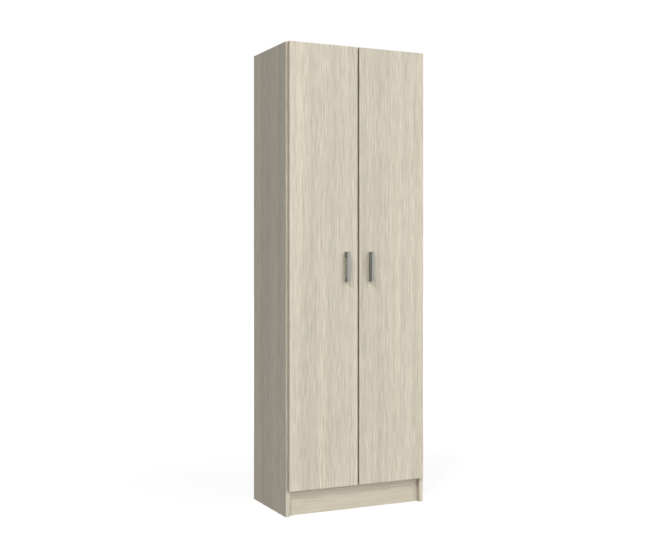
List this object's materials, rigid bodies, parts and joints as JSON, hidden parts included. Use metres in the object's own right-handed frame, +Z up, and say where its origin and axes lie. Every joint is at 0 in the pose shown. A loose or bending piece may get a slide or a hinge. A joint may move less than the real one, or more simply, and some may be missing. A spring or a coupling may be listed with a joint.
{
  "type": "storage cabinet",
  "caption": "Tall free-standing storage cabinet with a pair of full-height hinged doors, box-shaped pull handles, shelves inside and a recessed plinth.",
  "frame": {"origin": "on the floor, under the middle of the whole cabinet's box with its handles", "axes": "+Z up, +X to the right when facing the doors, -Y out of the front"},
  "size_m": [0.6, 0.3764, 1.8],
  "materials": {
    "board": "matt pale wood-grain decor on chipboard",
    "door_board": "matt pale ash-grain decor on chipboard",
    "hardboard": "thin hardboard, pale lacquer",
    "beech": "raw beech",
    "handle_metal": "satin grey metal",
    "hinge_steel": "nickel-plated steel",
    "zinc": "zinc-plated steel or die-cast zinc",
    "pin_plastic": "moulded",
    "bumper_plastic": "soft clear"
  },
  "bodies": {
    "carcass": {"back_panel_lower": "hardboard", "back_panel_nails": "zinc", "back_panel_upper": "hardboard", "bottom_panel": "board", "cam_bolts": "zinc", "cam_locks": "zinc", "fixed_shelf": "board", "hinge_arm_pins_left": "hinge_steel", "hinge_arm_pins_right": "hinge_steel", "hinge_arm_screws_left": "zinc", "hinge_arm_screws_right": "zinc", "hinge_arms_left": "hinge_steel", "hinge_arms_right": "hinge_steel", "hinge_plate_screws_left": "zinc", "hinge_plate_screws_right": "zinc", "hinge_plates_left": "hinge_steel", "hinge_plates_right": "hinge_steel", "loose_shelf_1": "board", "loose_shelf_2": "board", "loose_shelf_3": "board", "loose_shelf_4": "board", "plinth_board": "board", "shelf_pins": "pin_plastic", "side_panel_left": "board", "side_panel_right": "board", "top_panel": "board", "wall_bracket": "zinc", "wall_bracket_screws": "zinc", "wooden_dowels": "beech"},
    "left_door": {"door_bumpers_left": "bumper_plastic", "door_left": "door_board", "handle_left": "handle_metal", "handle_screws_left": "zinc", "hinge_cup_pins_left": "hinge_steel", "hinge_cup_screws_left": "zinc", "hinge_cups_left": "hinge_steel"},
    "right_door": {"door_bumpers_right": "bumper_plastic", "door_right": "door_board", "handle_right": "handle_metal", "handle_screws_right": "zinc", "hinge_cup_pins_right": "hinge_steel", "hinge_cup_screws_right": "zinc", "hinge_cups_right": "hinge_steel"},
    "left_hinge_links": {"hinge_links_left": "hinge_steel"},
    "right_hinge_links": {"hinge_links_right": "hinge_steel"}
  },
  "joints": [
    {"name": "left_door_hinge", "type": "hinge", "parent": "carcass", "child": "left_door", "pos_m": [-0.289, -0.15275, 0.9], "axis": [0, 0, -1], "range_deg": [0, 95]},
    {"name": "right_door_hinge", "type": "hinge", "parent": "carcass", "child": "right_door", "pos_m": [0.289, -0.15275, 0.9], "axis": [0, 0, 1], "range_deg": [0, 95]},
    {"name": "left_link_pivot", "type": "hinge", "parent": "left_door", "child": "left_hinge_links", "pos_m": [-0.2846, -0.14767, 0.9], "axis": [0, 0, 1], "range_deg": [-1, 136.39]},
    {"name": "right_link_pivot", "type": "hinge", "parent": "right_door", "child": "right_hinge_links", "pos_m": [0.2846, -0.14767, 0.9], "axis": [0, 0, -1], "range_deg": [-1, 136.39]}
  ],
  "couplings": [
    {"joint": "left_link_pivot", "follows": "left_door_hinge", "ratio": 1.4252},
    {"joint": "right_link_pivot", "follows": "right_door_hinge", "ratio": 1.4252}
  ]
}
